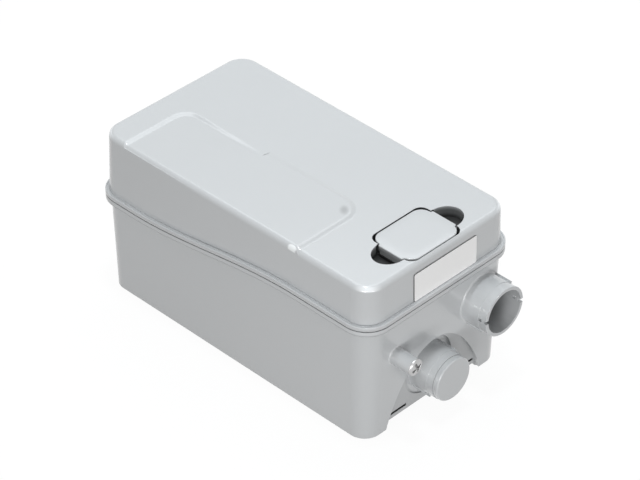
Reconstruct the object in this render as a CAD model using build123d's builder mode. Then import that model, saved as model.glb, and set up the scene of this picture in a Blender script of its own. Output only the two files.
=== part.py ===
from build123d import *
from math import acos, cos, pi, radians, sin, tan
import os

os.makedirs("parts", exist_ok=True)

# Driving dimensions, in millimetres. +X points to the pipe end, +Z up, and the floor is at z = 0.
length = 300.0
width = 166.0
roof_rear = 150.0
roof_front = 147.4
port_reach = 20.4
gland_reach = 4.0
mid = (gland_reach - port_reach) / 2

# Wall: thickness, how far the rims stand proud, and the drafts of the tank and of the cover.
wall = 3.0
rim_proud = 4.0
rim_corner = 22.0
tank_draft = 1.5
cover_draft = 1.7
half_x = length / 2 - rim_proud
half_y = width / 2 - rim_proud
corner = rim_corner - rim_proud
rim_level = 112.0

# The joint between tank and cover runs low at the back, climbs in a soft S and runs high at the front.
seam_rear = 92.0
seam_front = 110.4
climb_from = -105.0
climb_to = 72.0
seam_gap = 0.4
rim_up = 3.2
rim_down = 4.4
groove_in, groove_wide, groove_deep = 1.9, 3.0, 2.6

# Tank floor and underside.
floor_top = 15.5
floor_under = 12.5
skirt_bottom = 0.6
toe_height = 5.0
toe_half = 52.0
rib_pitch, rib_y, rib_thick, rib_deep = 56.0, 30.0, 2.0, 3.0
rib_across, rib_along = 150.0, 280.0
foot_rear_x, foot_front_x, foot_y = -118.0, 112.0, 50.0
foot_r, foot_high, foot_pin_r, foot_pin_long = 11.0, 4.0, 4.0, 5.5
slot_y, slot_z, slot_long, slot_high = 38.0, 9.8, 20.0, 2.2

# Front wall at z = 0, as a distance from the housing centre.
front_foot = half_x - rim_level * tan(radians(tank_draft))

# Ports on the front wall: high discharge port, low inlet port, screw boss.
port_y, port_z = 47.6, 74.3
port_r, port_bore, seal_seat_r = 21.3, 18.4, 15.4
port_end = length / 2 + port_reach
inlet_y, inlet_z = -4.6, 36.0
inlet_r, inlet_bore = 19.5, 17.0
inlet_end = 162.4
boss_y, boss_z = -46.8, 72.3
boss_r = 7.0
boss_end = 164.6
free_r, free_long = 21.0, 8.0
inlet_free_r, inlet_free_long = 19.2, 6.0
bore_from = half_x + 1.5
notch_wide, notch_deep, window_back, window_long = 3.0, 3.0, 8.0, 3.0

# Bell-shaped recess of the front wall, with a deeper ring round the low inlet.
bell_half, bell_height, bell_depth = 53.0, 62.0, 3.0
ring_r, ring_deep = 25.5, 1.2

# Roof: the level panel on the near side, the hatch at the pipe end, and its finger scoops.
roof_slope = (roof_rear - roof_front) / (2 * half_x)
roof_mid = (roof_rear + roof_front) / 2
roof_edge = 4.5
panel_rear_x, panel_front_x, panel_inner_y, panel_corner = -117.0, 66.0, -11.0, 13.0
panel_rear_z, panel_front_z = 148.4, 149.6
hatch_x, hatch_long, hatch_wide, hatch_corner = 120.3, 43.2, 57.0, 7.0
hatch_gap = 0.5
grip_x, grip_half, grip_out = 121.6, 12.6, 2.0
scoop_x, scoop_half, scoop_reach, scoop_depth = 122.0, 13.0, 46.0, 10.0

# Label plate on the front wall of the cover.
label_y, label_z, label_wide, label_high, label_thick = 5.2, 126.4, 68.5, 24.6, 0.9

# Pump: one shaft lies along X through the bulkhead between the dry bay and the sump.
pump_y, pump_z = 27.6, 50.0
bulkhead_rear, bulkhead_front, bulkhead_top = -16.0, -12.5, 95.0
motor_r, motor_rear, motor_front = 33.0, -112.0, -26.0
shaft_r, shaft_end, thread_r, thread_end = 4.0, 6.5, 2.5, 12.0
nose_r, ear_r, ear_pad_r, ear_thick, ear_hole_r = 17.8, 38.0, 5.5, 5.0, 2.1
shield_long, bearing_in, bearing_r, bearing_long = 8.0, 3.0, 11.0, 7.0
core_rear, core_front, core_bore, rotor_r = -86.0, -46.0, 18.9, 18.4
turn_r, turn_bore, turn_long, turn_gap = 28.0, 20.4, 9.0, 0.2
impeller_r, chamber_r = 19.0, 21.0
wheel_rear, plate_thick, hub_r, hub_front, blade_long = -8.0, 2.0, 7.5, 6.4, 14.0
pipe_r, pipe_bore, socket_wall = 11.0, 8.5, 2.5

# Volute: stations along X, wall, and the screw ears round the shaft as (across, up).
gasket_thick = 1.0
volute_rear, volute_front, volute_wall = bulkhead_front + gasket_thick, 16.0, 3.0
eye_r, duct_off, duct_rise = 9.0, port_y - pump_y, port_z - pump_z
volute_ears = [(-4.9, 28.0), (-28.8, 7.7), (-22.1, -22.1), (23.6, -23.6)]
lug_r, lug_thick, lug_hole_r = 4.2, 4.0, 1.7
eye_wall, eye_long = 3.5, 4.0
strainer_r, strainer_long, strainer_wall = 16.0, 18.0, 1.6

# Non-return valve on the discharge line: body, seat and hinge of the flap.
valve_rear, valve_front, valve_r, valve_bore = 50.0, 112.0, 19.0, 16.5
seat_x, flap_r, flap_thick = 69.0, 11.5, 2.2
hinge_x, hinge_up, hinge_r = 72.6, 12.5, 1.5
spigot_r, spigot_bore, spigot_end = 14.0, 10.0, 146.5

# Level switch on the bulkhead, cable gland in the rear wall.
switch_y, switch_z, switch_r, switch_long = -46.0, 70.0, 20.0, 16.0
bell_x, bell_r, bell_bore, bell_low, bell_long = 1.0, 11.0, 9.2, 22.0, 58.0
gland_y, gland_z, gland_thread_r = -44.0, 70.0, 7.5
gland_seat, gland_inside, gland_pad_half = 145.4, 141.2, 15.0
gland_hex_r, gland_dome_r, gland_bore = 10.5, 8.6, 3.6

# Dry bay: tray of the chassis, control box on four stands, run capacitor under it.
tray_top = 17.5
tray_rear, tray_wide, tray_y = -120.0, 138.0, -3.0
cradle_x, cradle_wide, cradle_top, cradle_thick = -100.0, 50.0, 36.0, 6.0
box_wall, board_up, board_thick = 2.0, 8.0, 1.6
box_x, box_y, box_low, box_high, box_long, box_wide = -88.5, -42.0, 54.0, 88.0, 57.0, 56.0
cap_y, cap_z, cap_r, cap_rear, cap_front = -48.0, 34.6, 15.0, -118.0, -58.0

# Cover screws: deep wells in four pillars, screws into the bosses of the cover.
pillar_x, pillar_y, pillar_r, pillar_under = 128.0, 68.5, 6.5, 1.2
well_r, well_under = 4.4, 14.0
screw_r, screw_long, head_r, head_high, socket_deep = 1.75, 26.0, 3.6, 3.2, 1.8

# Clearances: a close fit, and a loose one for a screw in its hole or a pipe in its socket.
fit = 0.05
loose = 0.3


def looking_front(x, y=0.0, z=0.0):
    """Plane whose normal is +X, x from the housing centre, local x = +Y and local y = +Z."""
    return Plane(origin=(mid + x, y, z), x_dir=(0, 1, 0), z_dir=(1, 0, 0))


def seam_height(x):
    """Height of the joint line at x from the housing centre."""
    t = min(max((x - climb_from) / (climb_to - climb_from), 0.0), 1.0)
    return seam_rear + (seam_front - seam_rear) * t * t * (3 - 2 * t)


def seam_line(lift):
    """Rear run, soft climb and front run of the joint, lifted by lift, in the side view."""
    third = (climb_to - climb_from) / 3
    start = (mid - length, seam_rear + lift)
    foot = (mid + climb_from, seam_rear + lift)
    top = (mid + climb_to, seam_front + lift)
    end = (mid + length, seam_front + lift)
    Line(start, foot)
    Bezier(foot, (foot[0] + third, foot[1]), (top[0] - third, top[1]), top)
    Line(top, end)
    return start, end


def seam_band(low, high):
    """Side view of the band between the joint line moved by low and the same line moved by high."""
    with BuildSketch(Plane.XZ) as band:
        with BuildLine():
            low_start, low_end = seam_line(low)
            high_start, high_end = seam_line(high)
            Line(low_start, high_start)
            Line(low_end, high_end)
        make_face()
    return band.sketch


def plan(inset, z=0.0, radius=None):
    """Rounded plan of the housing's rim, drawn in by inset, at height z."""
    with BuildSketch(Plane.XY.offset(z)) as outline:
        with Locations((mid, 0)):
            RectangleRounded(length - 2 * inset, width - 2 * inset, radius or rim_corner - inset)
    return outline.sketch


def slab(inset, low, high):
    """Slab that follows the joint line from low to high, with the rim's plan drawn in by inset."""
    with BuildPart() as body:
        extrude(seam_band(low, high), amount=width, both=True)
        extrude(plan(inset), amount=2 * roof_rear, mode=Mode.INTERSECT)
    return body.part


def ring_slab(outer, inner, low, high):
    """Closed ring that follows the joint line, between two insets of the rim's plan."""
    with BuildPart() as body:
        add(slab(outer, low, high))
        add(slab(inner, low - 1, high + 1), mode=Mode.SUBTRACT)
    return body.part


def bell(grow, depth):
    """Bell outline that deep behind the front wall, wider and higher by grow, open at the floor."""
    half, top = bell_half + grow, bell_height + grow
    shape = [(y, top * (1 - abs(y / half) ** 1.9) ** 0.8) for y in (-half, -0.85 * half, -0.58 * half,
                                                                    -0.3 * half, 0)]
    with BuildSketch(front_wall.offset(-depth)) as outline:
        with BuildLine():
            Spline(*shape, tangents=((0.25, 1), (1, 0)))
            Spline(*[(-y, z) for y, z in reversed(shape)], tangents=((1, 0), (0.25, -1)))
            Line((half, 0), (half, -20))
            Line((half, -20), (-half, -20))
            Line((-half, -20), (-half, 0))
        make_face()
    return outline.sketch


def roof_body(rear_x, rear_z, front_x, front_z, edge, inset=0.0):
    """Drafted block of the cover under a plane through two heights, with its upper edges rounded."""
    slope = (front_z - rear_z) / (front_x - rear_x)
    base = seam_rear - 10
    grow = (rim_level - base) * tan(radians(cover_draft)) - inset
    with BuildPart() as body:
        with BuildSketch(Plane.XY.offset(base)):
            with Locations((mid, 0)):
                RectangleRounded(2 * (half_x + grow), 2 * (half_y + grow), corner + grow)
        extrude(amount=roof_rear + 20 - base, taper=cover_draft)
        with BuildSketch(Plane.XZ):
            with BuildLine():
                Polyline((mid - length, rear_z + slope * (-length - rear_x)),
                         (mid + length, rear_z + slope * (length - rear_x)),
                         (mid + length, 2 * roof_rear), (mid - length, 2 * roof_rear), close=True)
            make_face()
        extrude(amount=width, both=True, mode=Mode.SUBTRACT)
        if edge:
            fillet(body.faces().sort_by(Axis.Z)[-1].edges(), radius=edge)
    return body.part


def panel_prism(z, amount, taper):
    """Plan of the near side panel, open past the near edge, grown or shrunk by taper on its way."""
    with BuildPart() as body:
        with BuildSketch(Plane.XY.offset(z)) as outline:
            with Locations((mid + (panel_rear_x + panel_front_x) / 2, panel_inner_y - width / 2)):
                Rectangle(panel_front_x - panel_rear_x, width)
            fillet(outline.vertices().group_by(Axis.Y)[-1], panel_corner)
        extrude(amount=amount, taper=taper)
    return body.part


def hatch_plan(grow, depth):
    """Hatch outline with its two grip ends, grown by grow, on a plane that deep under the roof."""
    with BuildSketch(roof.offset(-depth)) as outline:
        with Locations((hatch_x, 0)):
            RectangleRounded(hatch_long + 2 * grow, hatch_wide + 2 * grow, max(hatch_corner + grow, 1.5))
        with Locations((grip_x, 0)):
            Rectangle(2 * (grip_half + grow), hatch_wide + 2 * (grip_out + grow))
    return outline.sketch


def volute_plan(grow):
    """Spiral of the pump chamber with its rising duct, grown by grow, seen along the shaft."""
    near, far = duct_off - pipe_bore - grow, duct_off + pipe_bore + grow
    start_r = chamber_r + grow
    first = acos(near / start_r)
    points = []
    for i in range(10):
        angle = first + (2 * pi - first) * i / 9
        reach = start_r + (far - start_r) * i / 9
        points.append((reach * cos(angle), reach * sin(angle)))
    with BuildSketch(Plane.XY) as outline:
        with BuildLine():
            Spline(*points)
            Line(points[-1], (far, duct_rise))
            ThreePointArc((far, duct_rise), (duct_off, duct_rise + pipe_bore + grow), (near, duct_rise))
            Line((near, duct_rise), points[0])
        make_face()
    return outline.sketch


def blade_plan():
    """One impeller blade seen along the shaft: a crescent that trails away from the turning sense."""
    with BuildSketch(Plane.XY) as outline:
        with BuildLine():
            Spline((6.0, -1.2), (12.2, -4.2), (14.6, -11.6))
            Line((14.6, -11.6), (13.2, -13.2))
            Spline((13.2, -13.2), (10.9, -6.4), (5.4, -3.4))
            Line((5.4, -3.4), (6.0, -1.2))
        make_face()
    return outline.sketch


def tube(x0, x1, outer, inner, y, z):
    """Straight tube along X between two stations, measured from the housing centre."""
    with BuildPart() as body:
        with BuildSketch(looking_front(x0, y, z)):
            Circle(outer)
            if inner:
                Circle(inner, mode=Mode.SUBTRACT)
        extrude(amount=x1 - x0)
    return body.part


def rooted_stub(y, z, radius, end, root):
    """Round stub that stands on the drafted front wall, with a fillet of that root at its foot."""
    with BuildPart() as body:
        with BuildSketch(looking_front(front_foot - 3, y, z)):
            Circle(radius + 8)
        extrude(amount=8)
        split(bisect_by=front_wall, keep=Keep.BOTTOM)
        with BuildSketch(looking_front(front_foot - 1, y, z)):
            Circle(radius)
        extrude(amount=end - front_foot + 1)
        fillet(body.edges().sort_by_distance((mid + front_foot + 2, y, z + radius))[0], radius=root)
        split(bisect_by=front_wall, keep=Keep.TOP)
    return body.part


def tank_block(inset):
    """Drafted block from the tank's floor to the rim, drawn in by inset from the outer face."""
    with BuildPart() as body:
        with BuildSketch(Plane.XY.offset(rim_level)):
            with Locations((mid, 0)):
                RectangleRounded(2 * (half_x - inset), 2 * (half_y - inset), corner - inset)
        extrude(amount=floor_top - rim_level, taper=tank_draft)
    return body.part


front_wall = Plane(origin=(mid + front_foot, 0, 0), x_dir=(0, 1, 0),
                   z_dir=(cos(radians(tank_draft)), 0, -sin(radians(tank_draft))))
roof = Plane(origin=(mid, 0, roof_mid), x_dir=(1, 0, -roof_slope), z_dir=(roof_slope, 0, 1))
label_wall = Plane(origin=(mid + half_x - (label_z - rim_level) * tan(radians(cover_draft)), label_y, label_z),
                   x_dir=(0, 1, 0), z_dir=(cos(radians(cover_draft)), 0, sin(radians(cover_draft))))
feet = [(mid + x, side * foot_y) for x in (foot_rear_x, foot_front_x) for side in (-1, 1)]
pillars = [(mid + sx * pillar_x, sy * pillar_y) for sx in (-1, 1) for sy in (-1, 1)]

# Tank: moulded shell with the rim flange, bell recess, pillars, toe opening and underside ribs.
with BuildPart() as tank:
    with BuildSketch(Plane.XY.offset(rim_level)):
        with Locations((mid, 0)):
            RectangleRounded(2 * half_x, 2 * half_y, corner)
    extrude(amount=skirt_bottom - rim_level, taper=tank_draft)
    add(slab(0, -rim_down, 0))
    # sump and dry bay
    add(tank_block(wall), mode=Mode.SUBTRACT)
    # hollow underside
    under_inset = (rim_level - floor_under) * tan(radians(tank_draft)) + wall
    with BuildSketch(Plane.XY.offset(floor_under)):
        with Locations((mid, 0)):
            RectangleRounded(2 * (half_x - under_inset), 2 * (half_y - under_inset), corner - under_inset)
    extrude(amount=-floor_under, mode=Mode.SUBTRACT)
    with BuildSketch(Plane.XY.offset(floor_under)):
        with Locations((mid, 0)):
            with GridLocations(rib_pitch, 0, 4, 1):
                Rectangle(rib_thick, rib_across)
            with GridLocations(0, 2 * rib_y, 1, 2):
                Rectangle(rib_along, rib_thick)
    extrude(amount=-rib_deep)
    # inner backing of the bell recess
    extrude(bell(wall, 2 * wall), amount=wall + 1)
    with BuildSketch(Plane.XY.offset(-30)):
        with Locations((mid + 140, 0)):
            Rectangle(40, width)
    extrude(amount=30 + skirt_bottom, mode=Mode.SUBTRACT)
    # pillars for the cover screws, and seats for the feet
    with BuildSketch(Plane.XY.offset(floor_under)):
        with Locations(*pillars):
            Circle(pillar_r)
    extrude(amount=seam_rear - pillar_under - floor_under)
    with BuildSketch(Plane.XY.offset(seam_rear - 2)):
        with Locations(*pillars[2:]):
            Circle(pillar_r)
    extrude(amount=seam_front - pillar_under - seam_rear + 2)
    with BuildSketch(Plane.XY.offset(floor_under)):
        with Locations(*feet):
            Circle(foot_r)
    extrude(amount=foot_high - floor_under)
    # everything above the joint line belongs to the cover
    extrude(seam_band(-seam_gap, 100), amount=width, both=True, mode=Mode.SUBTRACT)
    add(ring_slab(groove_in, groove_in + groove_wide, -groove_deep, 5), mode=Mode.SUBTRACT)
    # wells and holes of the cover screws
    for x, y in pillars:
        top = seam_height(x - mid)
        with BuildSketch(Plane.XY):
            with Locations((x, y)):
                Circle(well_r)
        extrude(amount=top - well_under, mode=Mode.SUBTRACT)
        with BuildSketch(Plane.XY):
            with Locations((x, y)):
                Circle(screw_r + loose)
        extrude(amount=top, mode=Mode.SUBTRACT)
    # sockets of the feet
    with BuildSketch(Plane.XY.offset(foot_high - 0.5)):
        with Locations(*feet):
            Circle(foot_pin_r + 0.1)
    extrude(amount=foot_pin_long + 1, mode=Mode.SUBTRACT)
    # bell recess with a deeper ring round the root of the low inlet
    extrude(bell(0, bell_depth), amount=bell_depth + 6, mode=Mode.SUBTRACT)
    with BuildSketch(looking_front(front_foot - bell_depth - ring_deep, inlet_y, inlet_z)):
        Circle(ring_r)
        with Locations((0, -20 - inlet_z + toe_height)):
            Rectangle(80, 40, mode=Mode.SUBTRACT)
    extrude(amount=12, mode=Mode.SUBTRACT)
    # toe opening between the two front feet, and the two bracket slots above it
    with BuildSketch(looking_front(front_foot - 12)):
        Rectangle(2 * toe_half, 2 * toe_height)
        with Locations((-slot_y, slot_z), (slot_y, slot_z)):
            Rectangle(slot_long, slot_high)
    extrude(amount=20, mode=Mode.SUBTRACT)
    # holes behind the two ports and the window of the gland pad
    with BuildSketch(looking_front(110, port_y, port_z)):
        Circle(seal_seat_r)
        with Locations((inlet_y - port_y, inlet_z - port_z)):
            Circle(inlet_bore)
    extrude(amount=80, mode=Mode.SUBTRACT)
    with BuildSketch(looking_front(-half_x - 5, gland_y, gland_z)):
        Rectangle(2 * gland_pad_half, 2 * gland_pad_half)
    extrude(amount=20, mode=Mode.SUBTRACT)
tank.part.label = "tank"
export_step(tank.part, "parts/tank.step")

# Discharge stub: open, with an inner shoulder, two axial ribs, and two notches and windows at its end.
with BuildPart() as discharge_stub:
    add(rooted_stub(port_y, port_z, port_r, port_end - free_long, 1.6))
    with BuildSketch(looking_front(front_foot + 4, port_y, port_z)):
        with PolarLocations(port_r, 2, start_angle=45):
            Rectangle(2.8, 2.0)
    extrude(amount=port_end - free_long - front_foot - 4)
    add(tube(port_end - free_long, port_end, free_r, 0, port_y, port_z))
    add(tube(front_foot - 5, port_end + 1, seal_seat_r, 0, port_y, port_z), mode=Mode.SUBTRACT)
    add(tube(bore_from, port_end + 1, port_bore, 0, port_y, port_z), mode=Mode.SUBTRACT)
    for x0, long in ((port_end - notch_deep, notch_deep + 1), (port_end - window_back, window_long)):
        with BuildSketch(looking_front(x0, port_y, port_z)):
            Rectangle(3 * port_r, notch_wide)
        extrude(amount=long, mode=Mode.SUBTRACT)
discharge_stub.part.label = "discharge_stub"
export_step(discharge_stub.part, "parts/discharge_stub.step")

# Low inlet stub, which stands in the deeper ring of the bell recess.
with BuildPart() as inlet_stub:
    ring_floor = front_foot - bell_depth - ring_deep
    add(tube(ring_floor, inlet_end - inlet_free_long, inlet_r, 0, inlet_y, inlet_z))
    with BuildSketch(looking_front(ring_floor, inlet_y, inlet_z)):
        with PolarLocations(inlet_r, 2, start_angle=45):
            Rectangle(2.6, 2.0)
    extrude(amount=inlet_end - inlet_free_long - ring_floor)
    add(tube(inlet_end - inlet_free_long, inlet_end, inlet_free_r, 0, inlet_y, inlet_z))
    add(tube(ring_floor - 1, inlet_end + 1, inlet_bore, 0, inlet_y, inlet_z), mode=Mode.SUBTRACT)
inlet_stub.part.label = "inlet_stub"
export_step(inlet_stub.part, "parts/inlet_stub.step")

# Screw boss beside the ports.
with BuildPart() as screw_boss:
    add(rooted_stub(boss_y, boss_z, boss_r, boss_end, 1.2))
    add(tube(bore_from, boss_end + 1, 2.5, 0, boss_y, boss_z), mode=Mode.SUBTRACT)
screw_boss.part.label = "screw_boss"
export_step(screw_boss.part, "parts/screw_boss.step")

# Square pad of the rear wall with a round seat on both faces and the hole for the cable gland.
with BuildPart() as gland_pad:
    add(tank_block(0))
    add(tank_block(wall), mode=Mode.SUBTRACT)
    with BuildSketch(looking_front(-half_x - 5, gland_y, gland_z)):
        Rectangle(2 * gland_pad_half, 2 * gland_pad_half)
    extrude(amount=20, mode=Mode.INTERSECT)
    add(tube(-gland_seat, -gland_inside, 12.5, 0, gland_y, gland_z))
    add(tube(-half_x - 5, -gland_inside + 5, gland_thread_r + 0.1, 0, gland_y, gland_z), mode=Mode.SUBTRACT)
gland_pad.part.label = "gland_pad"
export_step(gland_pad.part, "parts/gland_pad.step")

# Chassis: bulkhead between dry bay and sump, tray, motor cradle and stands of the control box.
with BuildPart() as chassis:
    with BuildSketch(Plane.XY.offset(floor_top)):
        with Locations((mid + (bulkhead_rear + bulkhead_front) / 2, 0)):
            Rectangle(bulkhead_front - bulkhead_rear, width)
    extrude(amount=bulkhead_top - floor_top)
    with BuildSketch(Plane.XY.offset(floor_top)):
        with Locations((mid + (bulkhead_rear + tray_rear) / 2, tray_y)):
            RectangleRounded(bulkhead_rear - tray_rear, tray_wide, 4)
        with Locations((mid + bulkhead_rear - 5, tray_y)):
            Rectangle(10, tray_wide)
    extrude(amount=tray_top - floor_top)
    with BuildSketch(looking_front(cradle_x, pump_y, 0)):
        with Locations((0, (floor_top + cradle_top) / 2)):
            Rectangle(cradle_wide, cradle_top - floor_top)
    extrude(amount=cradle_thick)
    with BuildSketch(Plane.XY.offset(floor_top)):
        with Locations((mid - 112, -68), (mid - 66, -68), (mid - 112, -19), (mid - 66, -19)):
            Circle(3.5)
    extrude(amount=box_low - floor_top)
    add(tube(tray_rear - 2, bulkhead_rear, motor_r, 0, pump_y, pump_z), mode=Mode.SUBTRACT)
    add(tank_block(wall), mode=Mode.INTERSECT)
    # opening for the pump head and the spigot of the level switch
    with BuildSketch(looking_front(bulkhead_rear - 1, pump_y, pump_z)):
        Circle(nose_r + 0.3)
        with PolarLocations(ear_r, 4, start_angle=45):
            Circle(ear_hole_r)
        with Locations(*volute_ears):
            Circle(lug_hole_r)
    extrude(amount=10, mode=Mode.SUBTRACT)
    with BuildSketch(looking_front(bulkhead_rear - 1, switch_y, switch_z)):
        Circle(5.2)
    extrude(amount=10, mode=Mode.SUBTRACT)
chassis.part.label = "chassis"
export_step(chassis.part, "parts/chassis.step")

# Rubber cord in the groove of the tank rim, following the S of the joint.
with BuildPart() as rim_seal:
    add(ring_slab(groove_in + 0.2, groove_in + groove_wide - 0.2, -groove_deep, fit))
rim_seal.part.label = "rim_seal"
export_step(rim_seal.part, "parts/rim_seal.step")

# Cover: drafted shell with the sloping roof, level panel, hatch seat and screw bosses.
with BuildPart() as cover:
    add(roof_body(-half_x, roof_rear, half_x, roof_front, roof_edge))
    add(panel_prism(roof_mid - 2, 14, -40), mode=Mode.SUBTRACT)
    with BuildPart(mode=Mode.PRIVATE) as panel:
        add(roof_body(panel_rear_x, panel_rear_z, panel_front_x, panel_front_z, roof_edge))
        add(panel_prism(panel_front_z + 3, -14, -45), mode=Mode.INTERSECT)
    add(panel.part)
    add(slab(0, 0, rim_up))
    add(roof_body(-half_x, roof_rear - 4.2, half_x, roof_front - 4.2, 0, wall), mode=Mode.SUBTRACT)
    # block that carries the hatch seat and the finger scoops
    with BuildSketch(roof.offset(-13)):
        with Locations((118, 0)):
            Rectangle(50, 2 * scoop_reach + 8)
    extrude(amount=11)
    extrude(seam_band(-100, seam_gap), amount=width, both=True, mode=Mode.SUBTRACT)
    # locating lip inside the tank wall, cleared round the pillars
    add(ring_slab(3.9, 10.0, seam_gap, 3.0))
    add(ring_slab(8.0, 10.0, -4.5, 3.0))
    for x, y in pillars:
        top = seam_height(x - mid)
        with BuildSketch(Plane.XY.offset(top + seam_gap)):
            with Locations((x, y)):
                Circle(pillar_r + 0.6)
        extrude(amount=-8, mode=Mode.SUBTRACT)
        with BuildSketch(Plane.XY.offset(top + 0.6)):
            with Locations((x, y)):
                Circle(5.5)
        extrude(amount=roof_front - 3 - top)
        with BuildSketch(Plane.XY.offset(top)):
            with Locations((x, y)):
                Circle(screw_r + loose)
        extrude(amount=14, mode=Mode.SUBTRACT)
    # hatch seat, filter well and finger scoops
    extrude(hatch_plan(hatch_gap, 9), amount=12, mode=Mode.SUBTRACT)
    extrude(hatch_plan(-5, 20), amount=16, mode=Mode.SUBTRACT)
    with BuildSketch(roof.offset(-scoop_depth)):
        with Locations((scoop_x, 30), (scoop_x, -30)):
            Ellipse(scoop_half, scoop_reach - 30)
        with Locations((scoop_x, 0)):
            Rectangle(60, hatch_wide - 4, mode=Mode.SUBTRACT)
    extrude(amount=scoop_depth + 3, mode=Mode.SUBTRACT)
    # recess of the label plate
    with BuildSketch(label_wall.offset(-1.2)):
        RectangleRounded(label_wide + 0.6, label_high + 0.6, 1.5)
    extrude(amount=5, mode=Mode.SUBTRACT)
cover.part.label = "cover"
export_step(cover.part, "parts/cover.step")

# Partition under the roof, over the bulkhead.
with BuildPart() as partition:
    for low, high, half in ((bulkhead_top + 0.6, 105, 72.9), (105, roof_rear, half_y)):
        with BuildSketch(Plane.XY.offset(low)):
            with Locations((mid + (bulkhead_rear + bulkhead_front) / 2, 0)):
                Rectangle(bulkhead_front - bulkhead_rear, 2 * half)
        extrude(amount=high - low)
    add(roof_body(-half_x, roof_rear - 4.2, half_x, roof_front - 4.2, 0, wall), mode=Mode.INTERSECT)
partition.part.label = "partition"
export_step(partition.part, "parts/partition.step")

# Blank rating plate in its recess.
with BuildPart() as label_plate:
    with BuildSketch(label_wall.offset(-1.2)):
        RectangleRounded(label_wide, label_high, 1.2)
    extrude(amount=label_thick)
label_plate.part.label = "label_plate"
export_step(label_plate.part, "parts/label_plate.step")

# Hatch: lid with a skirt that stands in the seat.
with BuildPart() as hatch:
    extrude(hatch_plan(0, 3), amount=3)
    chamfer(hatch.faces().sort_by(Axis.Z)[-1].edges(), length=0.5)
    extrude(hatch_plan(-1.2, 8.2), amount=5.4)
    extrude(hatch_plan(-3.2, 8.2), amount=5.2, mode=Mode.SUBTRACT)
hatch.part.label = "hatch"
export_step(hatch.part, "parts/hatch.step")

# Flat gasket under the skirt of the hatch.
with BuildPart() as hatch_seal:
    extrude(hatch_plan(-0.6, 9), amount=0.7)
    extrude(hatch_plan(-3.3, 9), amount=0.7, mode=Mode.SUBTRACT)
hatch_seal.part.label = "hatch_seal"
export_step(hatch_seal.part, "parts/hatch_seal.step")

# Basket that hangs in the well under the hatch, with a slotted floor.
with BuildPart() as filter_basket:
    extrude(hatch_plan(-3.6, 9), amount=1)
    extrude(hatch_plan(-5.4, 26), amount=17.5)
    extrude(hatch_plan(-6.6, 24.8), amount=30, mode=Mode.SUBTRACT)
    with BuildSketch(roof.offset(-27)):
        with GridLocations(1, 5, 1, 7):
            with Locations((hatch_x, 0)):
                Rectangle(22, 2.4)
    extrude(amount=3, mode=Mode.SUBTRACT)
filter_basket.part.label = "filter_basket"
export_step(filter_basket.part, "parts/filter_basket.step")

# Activated carbon block of the air vent.
with BuildPart() as carbon_filter:
    extrude(hatch_plan(-7.0, 24.6), amount=14)
    fillet(carbon_filter.faces().sort_by(Axis.Z)[-1].edges(), radius=1.0)
carbon_filter.part.label = "carbon_filter"
export_step(carbon_filter.part, "parts/carbon_filter.step")

# Blanking plug of the low inlet, with a groove for its ring.
with BuildPart() as inlet_plug:
    add(tube(inlet_end + 0.3, inlet_end + 4.8, 18.6, 0, inlet_y, inlet_z))
    chamfer(inlet_plug.faces().sort_by(Axis.X)[-1].edges(), length=0.8)
    add(tube(inlet_end - 14.4, inlet_end + 0.4, 16.4, 0, inlet_y, inlet_z))
    with BuildSketch(looking_front(inlet_end - 10, inlet_y, inlet_z)):
        Circle(20)
        Circle(14.6, mode=Mode.SUBTRACT)
    extrude(amount=2.4, mode=Mode.SUBTRACT)
    with BuildSketch(looking_front(inlet_end - 15, inlet_y, inlet_z)):
        Circle(12.6)
    extrude(amount=16, mode=Mode.SUBTRACT)
inlet_plug.part.label = "inlet_plug"
export_step(inlet_plug.part, "parts/inlet_plug.step")

# Sealing ring of the plug.
with BuildPart() as plug_ring:
    with BuildSketch(Plane.XY.offset(inlet_z)):
        with Locations((mid + inlet_end - 8.8, inlet_y + 15.65)):
            Circle(1.0)
    revolve(axis=Axis((mid, inlet_y, inlet_z), (1, 0, 0)))
plug_ring.part.label = "plug_ring"
export_step(plug_ring.part, "parts/plug_ring.step")

# Pan head screw with a cross recess, which closes the boss.
with BuildPart() as boss_screw:
    add(tube(boss_end - 15, boss_end, 2.2, 0, boss_y, boss_z))
    add(tube(boss_end, boss_end + 2.8, 6.9, 0, boss_y, boss_z))
    fillet(boss_screw.faces().sort_by(Axis.X)[-1].edges(), radius=1.2)
    with BuildSketch(looking_front(boss_end + 1.2, boss_y, boss_z)):
        Rectangle(7, 1.5, rotation=20)
        Rectangle(1.5, 7, rotation=20)
    extrude(amount=3, mode=Mode.SUBTRACT)
boss_screw.part.label = "boss_screw"
export_step(boss_screw.part, "parts/boss_screw.step")

# Four screws that hold the cover from below.
with BuildPart() as cover_screws:
    for x, y in pillars:
        top = seam_height(x - mid)
        with BuildSketch(Plane.XY.offset(top - well_under - head_high)):
            with Locations((x, y)):
                Circle(head_r)
        extrude(amount=head_high)
        with BuildSketch(Plane.XY.offset(top - well_under)):
            with Locations((x, y)):
                Circle(screw_r)
        extrude(amount=screw_long)
        with BuildSketch(Plane.XY.offset(top - well_under - head_high)):
            with Locations((x, y)):
                RegularPolygon(2.0, 6)
        extrude(amount=socket_deep, mode=Mode.SUBTRACT)
cover_screws.part.label = "cover_screws"
export_step(cover_screws.part, "parts/cover_screws.step")

# Four rubber feet pressed into the seats under the floor.
with BuildPart() as rubber_feet:
    with BuildSketch(Plane.XY):
        with Locations(*feet):
            Circle(foot_r)
    extrude(amount=foot_high)
    chamfer(rubber_feet.edges().group_by(Axis.Z)[0], length=1)
    with BuildSketch(Plane.XY.offset(foot_high)):
        with Locations(*feet):
            Circle(foot_pin_r)
    extrude(amount=foot_pin_long)
rubber_feet.part.label = "rubber_feet"
export_step(rubber_feet.part, "parts/rubber_feet.step")

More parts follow.
